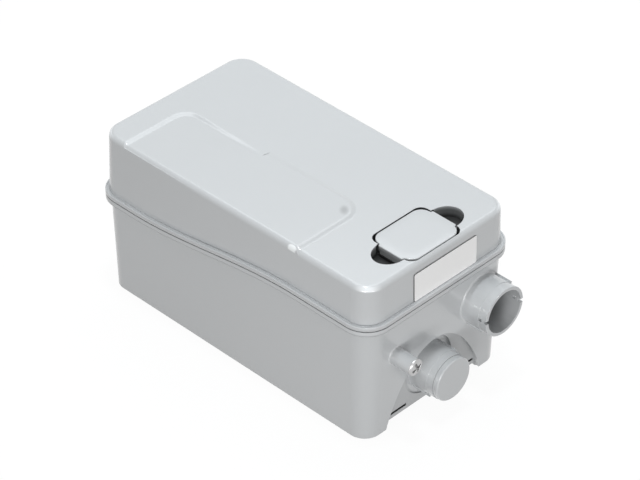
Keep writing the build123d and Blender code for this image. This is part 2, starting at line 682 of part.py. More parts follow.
# Cable gland in the rear wall: thread, hexagon and dome with the bore for the lead.
with BuildPart() as cable_gland:
    add(tube(-gland_seat, -gland_inside + 4.6, gland_thread_r, 0, gland_y, gland_z))
    with BuildSketch(looking_front(-gland_seat, gland_y, gland_z)):
        RegularPolygon(gland_hex_r, 6)
    extrude(amount=-3.5)
    add(tube(-length / 2 - gland_reach, -gland_seat - 3, gland_dome_r, 0, gland_y, gland_z))
    chamfer(cable_gland.faces().sort_by(Axis.X)[0].edges(), length=1.5)
    with BuildSketch(looking_front(-length / 2 - 6, gland_y, gland_z)):
        Circle(gland_bore)
    extrude(amount=30, mode=Mode.SUBTRACT)
cable_gland.part.label = "cable_gland"
export_step(cable_gland.part, "parts/cable_gland.step")

# Lock nut of the gland inside the dry bay.
with BuildPart() as gland_nut:
    with BuildSketch(looking_front(-gland_inside, gland_y, gland_z)):
        RegularPolygon(gland_hex_r, 6)
        Circle(gland_thread_r + fit, mode=Mode.SUBTRACT)
    extrude(amount=3.6)
gland_nut.part.label = "gland_nut"
export_step(gland_nut.part, "parts/gland_nut.step")

# Motor can.
with BuildPart() as motor_housing:
    add(tube(motor_rear + shield_long, motor_front, motor_r, motor_r - 2, pump_y, pump_z))
motor_housing.part.label = "motor_housing"
export_step(motor_housing.part, "parts/motor_housing.step")

# Rear end shield with the bearing seat.
with BuildPart() as rear_shield:
    add(tube(motor_rear, motor_rear + shield_long, motor_r, 0, pump_y, pump_z))
    fillet(rear_shield.faces().sort_by(Axis.X)[0].edges(), radius=3)
    add(tube(motor_rear + shield_long, motor_rear + shield_long + 4, 14, 0, pump_y, pump_z))
    add(tube(motor_rear + bearing_in, motor_rear + 20, bearing_r, 0, pump_y, pump_z), mode=Mode.SUBTRACT)
rear_shield.part.label = "rear_shield"
export_step(rear_shield.part, "parts/rear_shield.step")

# Front end shield: flange with four ears on the bulkhead, bearing seat and a nose into the pump.
with BuildPart() as front_shield:
    add(tube(motor_front, bulkhead_rear, motor_r, 0, pump_y, pump_z))
    with BuildSketch(looking_front(bulkhead_rear - ear_thick, pump_y, pump_z)):
        with PolarLocations(ear_r, 4, start_angle=45):
            Circle(ear_pad_r)
        with PolarLocations(ear_r - 5, 4, start_angle=45):
            Rectangle(10, 2 * ear_pad_r)
    extrude(amount=ear_thick)
    add(tube(bulkhead_rear, bulkhead_front + 2.5, nose_r, 0, pump_y, pump_z))
    add(tube(motor_front - 1, motor_front + bearing_long, bearing_r, 0, pump_y, pump_z), mode=Mode.SUBTRACT)
    add(tube(motor_front, bulkhead_rear + 1, 6, 0, pump_y, pump_z), mode=Mode.SUBTRACT)
    add(tube(bulkhead_rear, bulkhead_front + 4, 9, 0, pump_y, pump_z), mode=Mode.SUBTRACT)
    with BuildSketch(looking_front(bulkhead_rear - 6, pump_y, pump_z)):
        with PolarLocations(ear_r, 4, start_angle=45):
            Circle(ear_hole_r)
    extrude(amount=8, mode=Mode.SUBTRACT)
front_shield.part.label = "front_shield"
export_step(front_shield.part, "parts/front_shield.step")

# Laminated stator core with twelve slots.
with BuildPart() as stator_core:
    with BuildSketch(looking_front(core_rear, pump_y, pump_z)):
        Circle(motor_r - 2.1)
        Circle(core_bore, mode=Mode.SUBTRACT)
        with PolarLocations(23.6, 12):
            RectangleRounded(6.5, 5.2, 1.2, mode=Mode.SUBTRACT)
        with PolarLocations(19.6, 12):
            Rectangle(3, 1.6, mode=Mode.SUBTRACT)
    extrude(amount=core_front - core_rear)
stator_core.part.label = "stator_core"
export_step(stator_core.part, "parts/stator_core.step")

# End turns of the stator winding, one ring on each end of the core.
with BuildPart() as stator_windings:
    for x0 in (core_rear - turn_gap - turn_long, core_front + turn_gap):
        with BuildPart(mode=Mode.PRIVATE) as end_turn:
            add(tube(x0, x0 + turn_long, turn_r, turn_bore, pump_y, pump_z))
            fillet(end_turn.edges(), radius=2.5)
        add(end_turn.part)
stator_windings.part.label = "stator_windings"
export_step(stator_windings.part, "parts/stator_windings.step")

# Squirrel cage rotor with its end rings.
with BuildPart() as rotor_core:
    add(tube(core_rear, core_front, rotor_r, shaft_r, pump_y, pump_z))
    for x0 in (core_rear - 3, core_front):
        add(tube(x0, x0 + 3, 16.5, 10, pump_y, pump_z))
rotor_core.part.label = "rotor_core"
export_step(rotor_core.part, "parts/rotor_core.step")

# Stainless shaft from the rear bearing to the impeller, with a threaded end.
with BuildPart() as motor_shaft:
    add(tube(motor_rear + 4, shaft_end, shaft_r, 0, pump_y, pump_z))
    chamfer(motor_shaft.faces().sort_by(Axis.X)[0].edges(), length=0.6)
    add(tube(shaft_end, thread_end, thread_r, 0, pump_y, pump_z))
motor_shaft.part.label = "motor_shaft"
export_step(motor_shaft.part, "parts/motor_shaft.step")

# Ball bearings, each one closed ring.
with BuildPart() as front_bearing:
    add(tube(motor_front, motor_front + bearing_long, bearing_r - fit, shaft_r + fit, pump_y, pump_z))
front_bearing.part.label = "front_bearing"
export_step(front_bearing.part, "parts/front_bearing.step")
with BuildPart() as rear_bearing:
    bearing_rear = motor_rear + bearing_in
    add(tube(bearing_rear, bearing_rear + bearing_long, bearing_r - fit, shaft_r + fit, pump_y, pump_z))
rear_bearing.part.label = "rear_bearing"
export_step(rear_bearing.part, "parts/rear_bearing.step")

# Lip seal in the nose of the front shield.
with BuildPart() as shaft_seal:
    add(tube(bulkhead_rear + 0.5, bulkhead_front + 3.5, 8.95, shaft_r + 0.06, pump_y, pump_z))
shaft_seal.part.label = "shaft_seal"
export_step(shaft_seal.part, "parts/shaft_seal.step")

# Four screws that hold the motor to the bulkhead.
with BuildPart() as motor_screws:
    head_rear = bulkhead_rear - ear_thick - head_high
    with BuildSketch(looking_front(head_rear, pump_y, pump_z)):
        with PolarLocations(ear_r, 4, start_angle=45):
            Circle(3.4)
    extrude(amount=head_high)
    with BuildSketch(looking_front(head_rear + head_high, pump_y, pump_z)):
        with PolarLocations(ear_r, 4, start_angle=45):
            Circle(screw_r)
    extrude(amount=8.2)
    with BuildSketch(looking_front(head_rear, pump_y, pump_z)):
        with PolarLocations(ear_r, 4, start_angle=45):
            RegularPolygon(1.9, 6)
    extrude(amount=socket_deep, mode=Mode.SUBTRACT)
motor_screws.part.label = "motor_screws"
export_step(motor_screws.part, "parts/motor_screws.step")

# Flat gasket between the volute and the bulkhead.
with BuildPart() as volute_gasket:
    with BuildSketch(looking_front(bulkhead_front, pump_y, pump_z)):
        add(volute_plan(volute_wall))
        add(volute_plan(0), mode=Mode.SUBTRACT)
    extrude(amount=gasket_thick)
volute_gasket.part.label = "volute_gasket"
export_step(volute_gasket.part, "parts/volute_gasket.step")

# Volute casing: spiral chamber, rising duct, suction eye and the socket of the discharge pipe.
with BuildPart() as volute_casing:
    with BuildSketch(looking_front(volute_rear, pump_y, pump_z)):
        add(volute_plan(volute_wall))
        with Locations(*volute_ears):
            Circle(lug_r)
    extrude(amount=lug_thick)
    with BuildSketch(looking_front(volute_rear + lug_thick, pump_y, pump_z)):
        add(volute_plan(volute_wall))
    extrude(amount=volute_front - volute_rear - lug_thick)
    add(tube(volute_front - 1, volute_front + eye_long, eye_r + eye_wall, 0, pump_y, pump_z))
    add(tube(volute_front - 1, volute_front + 10, pipe_r + socket_wall, 0, port_y, port_z))
    with BuildSketch(looking_front(volute_rear, pump_y, pump_z)):
        add(volute_plan(0))
    extrude(amount=volute_front - volute_wall - volute_rear, mode=Mode.SUBTRACT)
    with BuildSketch(looking_front(0, pump_y, pump_z)):
        Circle(eye_r)
        with Locations((duct_off, duct_rise)):
            Circle(pipe_bore)
    extrude(amount=40, mode=Mode.SUBTRACT)
    with BuildSketch(looking_front(volute_front, port_y, port_z)):
        Circle(pipe_r + loose)
    extrude(amount=20, mode=Mode.SUBTRACT)
    with BuildSketch(looking_front(volute_rear, pump_y, pump_z)):
        with Locations(*volute_ears):
            Circle(lug_hole_r)
    extrude(amount=5, mode=Mode.SUBTRACT)
volute_casing.part.label = "volute_casing"
export_step(volute_casing.part, "parts/volute_casing.step")

# Four screws that hold the volute.
with BuildPart() as volute_screws:
    with BuildSketch(looking_front(volute_rear + lug_thick, pump_y, pump_z)):
        with Locations(*volute_ears):
            Circle(2.8)
    extrude(amount=2.6)
    with BuildSketch(looking_front(bulkhead_rear + 0.5, pump_y, pump_z)):
        with Locations(*volute_ears):
            Circle(1.4)
    extrude(amount=volute_rear + lug_thick - bulkhead_rear - 0.5)
volute_screws.part.label = "volute_screws"
export_step(volute_screws.part, "parts/volute_screws.step")

# Free-flow impeller: hub, back plate and six blades that curve away from the turning sense.
with BuildPart() as impeller:
    add(tube(wheel_rear, wheel_rear + plate_thick, impeller_r, 0, pump_y, pump_z))
    add(tube(wheel_rear, hub_front, hub_r, 0, pump_y, pump_z))
    with BuildSketch(looking_front(wheel_rear + plate_thick - 0.2, pump_y, pump_z)):
        with PolarLocations(0, 6):
            add(blade_plan())
    extrude(amount=blade_long)
    with BuildSketch(looking_front(wheel_rear - 1, pump_y, pump_z)):
        Circle(shaft_r)
    extrude(amount=20, mode=Mode.SUBTRACT)
impeller.part.label = "impeller"
export_step(impeller.part, "parts/impeller.step")

# Nut on the threaded end of the shaft.
with BuildPart() as impeller_nut:
    with BuildSketch(looking_front(shaft_end, pump_y, pump_z)):
        RegularPolygon(4.6, 6)
        Circle(thread_r, mode=Mode.SUBTRACT)
    extrude(amount=4)
impeller_nut.part.label = "impeller_nut"
export_step(impeller_nut.part, "parts/impeller_nut.step")

# Slotted basket over the suction eye.
with BuildPart() as suction_strainer:
    add(tube(volute_front, volute_front + strainer_long, strainer_r, 0, pump_y, pump_z))
    fillet(suction_strainer.faces().sort_by(Axis.X)[-1].edges(), radius=2)
    add(tube(volute_front - 1, volute_front + eye_long, eye_r + eye_wall, 0, pump_y, pump_z),
        mode=Mode.SUBTRACT)
    add(tube(volute_front + eye_long, volute_front + strainer_long - strainer_wall,
             strainer_r - strainer_wall, 0, pump_y, pump_z), mode=Mode.SUBTRACT)
    with BuildSketch(looking_front(volute_front + 6, pump_y, pump_z)):
        with PolarLocations(15, 14):
            Rectangle(5, 3.2)
    extrude(amount=8.5, mode=Mode.SUBTRACT)
    with BuildSketch(looking_front(volute_front + 15, pump_y, pump_z)):
        with PolarLocations(8.2, 7):
            SlotCenterToCenter(4.6, 3)
    extrude(amount=6, mode=Mode.SUBTRACT)
suction_strainer.part.label = "suction_strainer"
export_step(suction_strainer.part, "parts/suction_strainer.step")

# Straight pipe from the volute to the valve.
with BuildPart() as discharge_pipe:
    add(tube(volute_front + 0.2, valve_rear + 3.8, pipe_r, pipe_bore, port_y, port_z))
discharge_pipe.part.label = "discharge_pipe"
export_step(discharge_pipe.part, "parts/discharge_pipe.step")

# Body of the non-return valve on its saddle, with the spigot that reaches into the high port.
with BuildPart() as valve_body:
    add(tube(valve_rear, valve_front, valve_r, 0, port_y, port_z))
    fillet(valve_body.edges(), radius=2)
    add(tube(valve_rear - 6, valve_rear + 1, pipe_r + socket_wall, 0, port_y, port_z))
    add(tube(valve_front - 1, spigot_end, spigot_r, 0, port_y, port_z))
    with BuildSketch(Plane.XY.offset(floor_top)):
        with Locations((mid + 76, port_y), (mid + 98, port_y)):
            Rectangle(4, 26)
        with Locations((mid + 87, port_y)):
            Rectangle(22, 4)
    extrude(amount=port_z - valve_r / 2 - floor_top)
    add(tube(valve_rear - 7, seat_x + 1, 9, 0, port_y, port_z), mode=Mode.SUBTRACT)
    add(tube(valve_rear - 7, valve_rear + 4, pipe_r + loose, 0, port_y, port_z), mode=Mode.SUBTRACT)
    add(tube(seat_x, valve_front - 5, valve_bore, 0, port_y, port_z), mode=Mode.SUBTRACT)
    add(tube(valve_front - 6, spigot_end + 1, spigot_bore, 0, port_y, port_z), mode=Mode.SUBTRACT)
    with BuildSketch(Plane.XZ.offset(-port_y - 20)):
        with Locations((mid + hinge_x, port_z + hinge_up)):
            Circle(hinge_r + fit)
    extrude(amount=33.8, mode=Mode.SUBTRACT)
valve_body.part.label = "valve_body"
export_step(valve_body.part, "parts/valve_body.step")

# Flap of the valve: disc, arm and hinge eye.
with BuildPart() as check_flap:
    add(tube(seat_x + fit, seat_x + flap_thick, flap_r, 0, port_y, port_z))
    with BuildSketch(Plane.XZ.offset(-port_y - 4)):
        with Locations((mid + hinge_x, port_z + hinge_up)):
            Circle(3)
        with Locations((mid + seat_x + 1.7, port_z + hinge_up - 3)):
            Rectangle(2.0, 8)
    extrude(amount=8)
    with BuildSketch(Plane.XZ.offset(-port_y - 5)):
        with Locations((mid + hinge_x, port_z + hinge_up)):
            Circle(hinge_r + fit)
    extrude(amount=10, mode=Mode.SUBTRACT)
check_flap.part.label = "check_flap"
export_step(check_flap.part, "parts/check_flap.step")

# Hinge pin of the flap.
with BuildPart() as flap_pin:
    with BuildSketch(Plane.XZ.offset(-port_y - 13.6)):
        with Locations((mid + hinge_x, port_z + hinge_up)):
            Circle(hinge_r)
    extrude(amount=27.2)
flap_pin.part.label = "flap_pin"
export_step(flap_pin.part, "parts/flap_pin.step")

# Rubber ring between the spigot of the valve and the high port.
with BuildPart() as outlet_seal:
    add(tube(142.6, spigot_end - 0.4, 15.35, spigot_r + 0.02, port_y, port_z))
outlet_seal.part.label = "outlet_seal"
export_step(outlet_seal.part, "parts/outlet_seal.step")

# Air bell of the level sensing, open at the bottom, with its arm to the bulkhead.
with BuildPart() as pressure_bell:
    with BuildSketch(Plane.XY.offset(bell_low)):
        with Locations((mid + bell_x, switch_y)):
            Circle(bell_r)
    extrude(amount=bell_long)
    fillet(pressure_bell.faces().sort_by(Axis.Z)[-1].edges(), radius=3)
    add(tube(bulkhead_front, 0, 8, 0, switch_y, switch_z))
    with BuildSketch(Plane.XY.offset(bell_low - 1)):
        with Locations((mid + bell_x, switch_y)):
            Circle(bell_bore)
    extrude(amount=bell_long - 1, mode=Mode.SUBTRACT)
    add(tube(bulkhead_front - 1, bell_x, 3, 0, switch_y, switch_z), mode=Mode.SUBTRACT)
pressure_bell.part.label = "pressure_bell"
export_step(pressure_bell.part, "parts/pressure_bell.step")

# Membrane switch on the dry side, with its air spigot and three blade contacts.
with BuildPart() as level_switch:
    add(tube(bulkhead_rear - switch_long - 2, bulkhead_rear - 2, switch_r, 0, switch_y, switch_z))
    fillet(level_switch.edges(), radius=1.5)
    add(tube(bulkhead_rear - 3, bulkhead_rear, 9, 0, switch_y, switch_z))
    add(tube(bulkhead_rear - 1, bulkhead_front - 0.3, 4.9, 0, switch_y, switch_z))
    add(tube(bulkhead_rear - 4, bulkhead_front, 2, 0, switch_y, switch_z), mode=Mode.SUBTRACT)
    with BuildSketch(looking_front(bulkhead_rear - switch_long - 2, switch_y, switch_z)):
        with GridLocations(9, 0, 3, 1):
            Rectangle(0.9, 6.3)
    extrude(amount=-7)
level_switch.part.label = "level_switch"
export_step(level_switch.part, "parts/level_switch.step")

# Run capacitor of the motor.
with BuildPart() as capacitor:
    add(tube(cap_rear, cap_front, cap_r, 0, cap_y, cap_z))
    fillet(capacitor.edges(), radius=1.5)
    with BuildSketch(looking_front(cap_front, cap_y, cap_z)):
        with GridLocations(12, 0, 2, 1):
            Rectangle(0.9, 6.3)
    extrude(amount=7)
capacitor.part.label = "capacitor"
export_step(capacitor.part, "parts/capacitor.step")

# Saddle that holds the capacitor on the tray.
with BuildPart() as capacitor_clamp:
    with BuildSketch(looking_front(-96, cap_y, 0)):
        with Locations((0, cap_z)):
            Circle(cap_r + 2)
        with Locations((0, (tray_top + cap_z) / 2)):
            Rectangle(2 * (cap_r + 2), cap_z - tray_top)
        with Locations((0, cap_z)):
            Circle(cap_r + fit, mode=Mode.SUBTRACT)
    extrude(amount=16)
capacitor_clamp.part.label = "capacitor_clamp"
export_step(capacitor_clamp.part, "parts/capacitor_clamp.step")

# Control box with four stands for the board and two wire entries.
with BuildPart() as control_box:
    with BuildSketch(Plane.XY.offset(box_low)):
        with Locations((mid + box_x, box_y)):
            RectangleRounded(box_long, box_wide, 3)
    extrude(amount=box_high - box_low)
    with BuildSketch(Plane.XY.offset(box_low + box_wall)):
        with Locations((mid + box_x, box_y)):
            RectangleRounded(box_long - 2 * box_wall, box_wide - 2 * box_wall, 1.5)
    extrude(amount=box_high - box_low, mode=Mode.SUBTRACT)
    with BuildSketch(Plane.XY.offset(box_low + box_wall)):
        with Locations((mid + box_x, box_y)):
            with GridLocations(42, 40, 2, 2):
                Circle(3)
    extrude(amount=board_up - box_wall)
    with BuildSketch(looking_front(box_x - box_long / 2 - 1, gland_y, gland_z)):
        Circle(4)
    extrude(amount=4, mode=Mode.SUBTRACT)
    with BuildSketch(looking_front(box_x + box_long / 2 - 3, switch_y, switch_z)):
        Circle(4)
    extrude(amount=4, mode=Mode.SUBTRACT)
control_box.part.label = "control_box"
export_step(control_box.part, "parts/control_box.step")

# Lid of the control box with a locating rim.
with BuildPart() as control_lid:
    with BuildSketch(Plane.XY.offset(box_high)):
        with Locations((mid + box_x, box_y)):
            RectangleRounded(box_long, box_wide, 3)
    extrude(amount=2)
    chamfer(control_lid.edges().group_by(Axis.Z)[-1], length=0.6)
    with BuildSketch(Plane.XY.offset(box_high)):
        with Locations((mid + box_x, box_y)):
            RectangleRounded(box_long - 4.6, box_wide - 4.6, 1.5)
            RectangleRounded(box_long - 7.6, box_wide - 7.6, 1, mode=Mode.SUBTRACT)
    extrude(amount=-3)
control_lid.part.label = "control_lid"
export_step(control_lid.part, "parts/control_lid.step")

# Circuit board with its relay and supply parts.
with BuildPart() as circuit_board:
    board_low = box_low + board_up
    with BuildSketch(Plane.XY.offset(board_low)):
        with Locations((mid + box_x, box_y)):
            Rectangle(50, 49)
    extrude(amount=board_thick)
    for dx, dy, long, wide, high in ((-12, -13, 19, 15.5, 15), (12, -14, 16, 9, 12), (13, 2, 12, 12, 9)):
        with BuildSketch(Plane.XY.offset(board_low + 1)):
            with Locations((mid + box_x + dx, box_y + dy)):
                Rectangle(long, wide)
        extrude(amount=high)
    with BuildSketch(Plane.XY.offset(board_low + 1)):
        with Locations((mid + box_x - 8, box_y + 4), (mid + box_x - 18, box_y + 4)):
            Circle(4)
    extrude(amount=11)
circuit_board.part.label = "circuit_board"
export_step(circuit_board.part, "parts/circuit_board.step")

# Screw terminal row on the board.
with BuildPart() as terminal_block:
    with BuildSketch(Plane.XY.offset(board_low + board_thick)):
        with Locations((mid + box_x, box_y + 17.5)):
            Rectangle(36, 10)
    extrude(amount=12)
    with BuildSketch(Plane.XY.offset(board_low + board_thick + 12)):
        with Locations((mid + box_x, box_y + 17.5)):
            with GridLocations(6, 0, 6, 1):
                Circle(1.9)
    extrude(amount=-5, mode=Mode.SUBTRACT)
terminal_block.part.label = "terminal_block"
export_step(terminal_block.part, "parts/terminal_block.step")
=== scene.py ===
import math

import bpy
import numpy as np
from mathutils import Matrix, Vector


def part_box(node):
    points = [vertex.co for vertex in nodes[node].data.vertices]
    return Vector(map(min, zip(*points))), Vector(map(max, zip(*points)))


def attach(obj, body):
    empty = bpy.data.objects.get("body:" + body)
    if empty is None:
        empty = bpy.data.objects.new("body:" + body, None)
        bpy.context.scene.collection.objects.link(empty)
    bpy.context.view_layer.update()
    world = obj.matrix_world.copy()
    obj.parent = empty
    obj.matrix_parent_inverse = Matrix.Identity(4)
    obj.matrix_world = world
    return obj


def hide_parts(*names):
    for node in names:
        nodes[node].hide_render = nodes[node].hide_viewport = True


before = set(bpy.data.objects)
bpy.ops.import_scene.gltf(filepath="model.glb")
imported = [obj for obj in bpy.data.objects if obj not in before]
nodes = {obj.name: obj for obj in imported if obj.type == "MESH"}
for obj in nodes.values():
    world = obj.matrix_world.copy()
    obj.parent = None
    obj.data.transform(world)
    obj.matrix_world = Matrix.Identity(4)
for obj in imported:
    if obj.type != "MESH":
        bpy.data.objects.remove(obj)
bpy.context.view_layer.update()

# Camera.
# The viewing angle and distance of the photograph, worked out from the edges of the housing:
# it looks down on the near long side and the pipe end from a little over two metres.
mid_x = -0.0082
view_turn, view_drop = math.radians(-45.314), math.radians(37.455)
view_distance, view_high = 2.1944, 0.074
focal_pixels, frame_wide = 2791.8, 640.0
shift_right, shift_up = 18.48, 3.26
sensor_wide, clip_far = 36.0, 20.0
sight = Vector((-math.cos(view_turn) * math.cos(view_drop), -math.sin(view_turn) * math.cos(view_drop),
                -math.sin(view_drop)))
camera_data = bpy.data.cameras.new("view")
camera_data.sensor_width = sensor_wide
camera_data.lens = focal_pixels / frame_wide * sensor_wide
camera_data.shift_x = shift_right / frame_wide
camera_data.shift_y = shift_up / frame_wide
camera_data.clip_end = clip_far
camera = bpy.data.objects.new("view", camera_data)
camera.location = Vector((mid_x, 0.0, view_high)) - sight * view_distance
camera.rotation_euler = sight.to_track_quat("-Z", "Y").to_euler()
bpy.context.scene.collection.objects.link(camera)
bpy.context.scene.camera = camera

# Studio.
# A white room with a large soft lamp overhead, a low one for each visible wall, and a small one
# above that draws the bright lines along the rounded edges. The lamps mirror in the gloss of the
# plastic: low views from behind show a bright patch on the roof, or a white one on a raised cover.
scene = bpy.context.scene
scene.view_settings.view_transform = "Standard"
white = (1.0, 1.0, 1.0, 1.0)
room_level = 0.38


class Value:
    """A shader socket for plain expressions, which can also add any node to its tree."""

    def __init__(self, tree, socket=None):
        self.tree = tree
        self.socket = socket

    def node(self, kind, settings=None, inputs=None, output=0):
        """Adds a node of that kind, makes its settings, then fills its sockets with values or links."""
        made = self.tree.nodes.new(kind)
        for name, value in (settings or {}).items():
            setattr(made, name, value)
        pairs = inputs.items() if isinstance(inputs, dict) else enumerate(inputs or [])
        for name, value in pairs:
            if isinstance(value, Value):
                self.tree.links.new(value.socket, made.inputs[name])
            else:
                made.inputs[name].default_value = value
        return Value(self.tree, made.outputs[output] if made.outputs else None)

    def math(self, operation, *others):
        """A Math node with this socket and the others as its inputs."""
        return self.node("ShaderNodeMath", {"operation": operation}, [self, *others])

    def __add__(self, other):
        return self.math("ADD", other)

    def __radd__(self, other):
        return self.math("ADD", other)

    def __sub__(self, other):
        return self.math("SUBTRACT", other)

    def __rsub__(self, other):
        return self.node("ShaderNodeMath", {"operation": "SUBTRACT"}, [other, self])

    def __mul__(self, other):
        return self.math("MULTIPLY", other)

    def __rmul__(self, other):
        return self.math("MULTIPLY", other)

    def axis(self, name):
        """One coordinate of a place: X, Y or Z."""
        return self.node("ShaderNodeSeparateXYZ", None, [self], output=name)

    def noise(self, scale, detail):
        """Noise from 0 to 1 at a place."""
        return self.node("ShaderNodeTexNoise", None, {"Vector": self, "Scale": scale, "Detail": detail})

    def ramp(self, start, end):
        """0 before start and 1 past end, with soft ends. It falls where end is below start."""
        return self.node("ShaderNodeMapRange", {"interpolation_type": "SMOOTHSTEP"},
                         {"Value": self, "From Min": start, "From Max": end})

    def blend(self, first, second):
        """The first colour where this value is 0, and the second where it is 1."""
        return self.node("ShaderNodeMix", {"data_type": "RGBA"}, {0: self, 6: first, 7: second}, output=2)


def seen_directly(paint):
    """1 for what the camera, a reflection or clear plastic shows, 0 for light that falls on surfaces."""
    camera_ray, glossy_ray, clear_ray = (
        paint.node("ShaderNodeLightPath", output=ray)
        for ray in ("Is Camera Ray", "Is Glossy Ray", "Is Transmission Ray"))
    return camera_ray.math("MAXIMUM", glossy_ray).math("MAXIMUM", clear_ray)


def lamp(name, place, aim, wide, high, watts, tint=(1.0, 1.0, 1.0)):
    """A rectangular soft lamp at a place, turned to its aim."""
    data = bpy.data.lights.new(name, "AREA")
    data.shape = "RECTANGLE"
    data.size = wide
    data.size_y = high
    data.energy = watts
    data.color = tint
    light = bpy.data.objects.new(name, data)
    light.location = place
    light.rotation_euler = (Vector(aim) - Vector(place)).to_track_quat("-Z", "Y").to_euler()
    scene.collection.objects.link(light)


world = bpy.data.worlds.new("room")
scene.world = world
world.use_nodes = True
world.node_tree.nodes.clear()
sky = Value(world.node_tree)
soft_light = sky.node("ShaderNodeBackground", None, {"Color": white, "Strength": room_level})
backdrop = sky.node("ShaderNodeBackground", None, {"Color": white, "Strength": 1.0})
room = sky.node("ShaderNodeMixShader", None, [seen_directly(sky), soft_light, backdrop])
sky.node("ShaderNodeOutputWorld", None, {"Surface": room})

skylight = (0.92, 0.97, 1.0)
lamp("overhead", place=(-0.45, 0.55, 1.5), aim=(-0.05, 0.0, 0.1), wide=1.2, high=1.2, watts=9.9,
     tint=skylight)
lamp("edge_glint", place=(mid_x + 0.1, -0.1, 1.9), aim=(mid_x, 0.0, 0.1), wide=0.2, high=0.2, watts=9.5,
     tint=skylight)
lamp("pipe_end", place=(1.5, -0.6, 0.15), aim=(0.0, 0.0, 0.08), wide=0.5, high=0.26, watts=4.6)
lamp("near_side", place=(0.9, -1.35, 0.15), aim=(0.0, 0.0, 0.08), wide=0.5, high=0.26, watts=7.4)

# Floor.
# A wide white sheet under the object. Seen directly it is nearly all glow, so it shows white with
# only a faint shadow. For the light that falls on the object it is a dim grey.
floor_half = 3.0
glow_share, glow_level = 0.93, 1.02
dim_grey, paper_white = (0.15, 0.15, 0.15, 1.0), (0.9, 0.9, 0.9, 1.0)


def blank(name):
    """A material with an empty node tree, and the writer of that tree."""
    material = bpy.data.materials.new(name)
    material.use_nodes = True
    material.node_tree.nodes.clear()
    return material, Value(material.node_tree)


floor_data = bpy.data.meshes.new("floor")
floor_data.from_pydata([(-floor_half, -floor_half, 0.0), (floor_half, -floor_half, 0.0),
                        (floor_half, floor_half, 0.0), (-floor_half, floor_half, 0.0)], [], [(0, 1, 2, 3)])
floor = bpy.data.objects.new("floor", floor_data)
scene.collection.objects.link(floor)
floor_material, sheet = blank("floor_sheet")
dim_paper = sheet.node("ShaderNodeBsdfDiffuse", None, {"Color": dim_grey})
white_paper = sheet.node("ShaderNodeBsdfDiffuse", None, {"Color": paper_white})
glow = sheet.node("ShaderNodeEmission", None, {"Color": white, "Strength": glow_level})
shown_sheet = sheet.node("ShaderNodeMixShader", None, [glow_share, white_paper, glow])
floor_mix = sheet.node("ShaderNodeMixShader", None, [seen_directly(sheet), dim_paper, shown_sheet])
sheet.node("ShaderNodeOutputMaterial", None, {"Surface": floor_mix})
floor_data.materials.append(floor_material)

# Housing.
# Tank and cover are taken to be mouldings of one satin light grey plastic, and so are the ports,
# boss and hatch. A fine grain breaks up the gloss, and the rims meet in rounded lips. Painted shade
# darkens the hatch seat, the bell recess, the bracket slots, the bore and the panel's front step,
# and a dot at the panel's corner. Painted highlights lighten the roof's rounded corners and a spot
# on its near edge.
housing_colour, housing_rough, coat_rough = (0.60, 0.615, 0.625), 0.42, 0.18
cloud_scale, cloud_share = 14.0, 0.97
grain_scale, grain_high, rough_wander = 2000.0, 0.000025, 0.12
seam_rear, seam_front = 0.092, 0.1104
climb_from, climb_to = mid_x - 0.105, mid_x + 0.072
rim_up, rim_down = 0.0032, 0.0044
lower_round, lower_top, lower_rise = 0.0007, -0.0001, 0.0006
upper_round, upper_foot, upper_full, upper_rise = 0.0008, 0.0003, 0.0014, 0.0003
roof_fall, roof_mid = 0.0026 / 0.292, 0.1487
tank_draft, cover_draft = math.radians(1.5), math.radians(1.7)
half_along, half_across, joint_up = 0.146, 0.079, 0.112
front_foot = mid_x + half_along - joint_up * math.tan(tank_draft)
port_side, port_up = 0.0476, 0.0743

# Places and fades of the painted shade and the painted highlights on the housing.
seat_floor, seat_side = (0.0128, 0.0122), (0.0502, 0.05)
seat_rear, seat_front = (mid_x + 0.094, mid_x + 0.095), (mid_x + 0.1436, mid_x + 0.1434)
recess_fade, pit_fade, gap_fade = (0.0004, 0.004), (0.005, 0.0098), (0.00006, 0.0005)
gap_side, gap_rear = (0.0320, 0.0314), (mid_x + 0.0975, mid_x + 0.0978)
gap_front = (mid_x + 0.1415, mid_x + 0.1412)
bell_fade, bell_back, bell_top, bell_side = (0.0003, 0.004), (0.0046, 0.0044), (0.066, 0.065), (0.056, 0.055)
bell_rear = (front_foot - 0.008, front_foot - 0.007)
slot_fade, slot_inner, slot_outer = (0.0003, 0.0009), (0.0276, 0.0282), (0.0484, 0.0478)
slot_up, slot_half, slot_rear = 0.0098, (0.00125, 0.00115), (front_foot - 0.012, front_foot - 0.01)
throat_round, throat_fade = (0.0190, 0.0186), (mid_x + 0.1660, mid_x + 0.1480)
throat_rear = (mid_x + 0.1440, mid_x + 0.1450)
slope_rear, slope_front = (mid_x + 0.0680, mid_x + 0.0700), (mid_x + 0.0752, mid_x + 0.0732)
slope_side, slope_fade = (-0.0150, -0.0210), (0.0040, 0.0010)
shade_dot_x, shade_dot_y, shade_dot_flat, shade_dot_fade = mid_x + 0.0632, -0.0182, 0.6, (0.0068, 0.0010)
corner_from, corner_full = 0.0175, 0.0055
corner_top, corner_low = (0.0001, 0.0010), (0.0042, 0.0026)
glint_x, glint_y, glint_long, glint_wide = mid_x + 0.0665, -0.0772, 0.0050, 0.0022
glint_edge, glint_low = (1.0, 0.6), (0.0038, 0.0022)


def tone(colour, share):
    """A share of a colour, as four channels of 1 at most."""
    return [min(1.0, channel * share) for channel in colour] + [1.0]


def rim_lips(x, z):
    """Height of the lips: one rounds off the tank's rim under the joint, the other the cover's over it."""
    over_joint = z - x.ramp(climb_from, climb_to) * (seam_front - seam_rear) - seam_rear
    lower = (over_joint.ramp(-rim_down, -rim_down + lower_round)
             * over_joint.ramp(lower_top, -rim_down + lower_round))
    upper = over_joint.ramp(rim_up, rim_up - upper_round) * over_joint.ramp(upper_foot, upper_full)
    return lower * lower_rise + upper * upper_rise


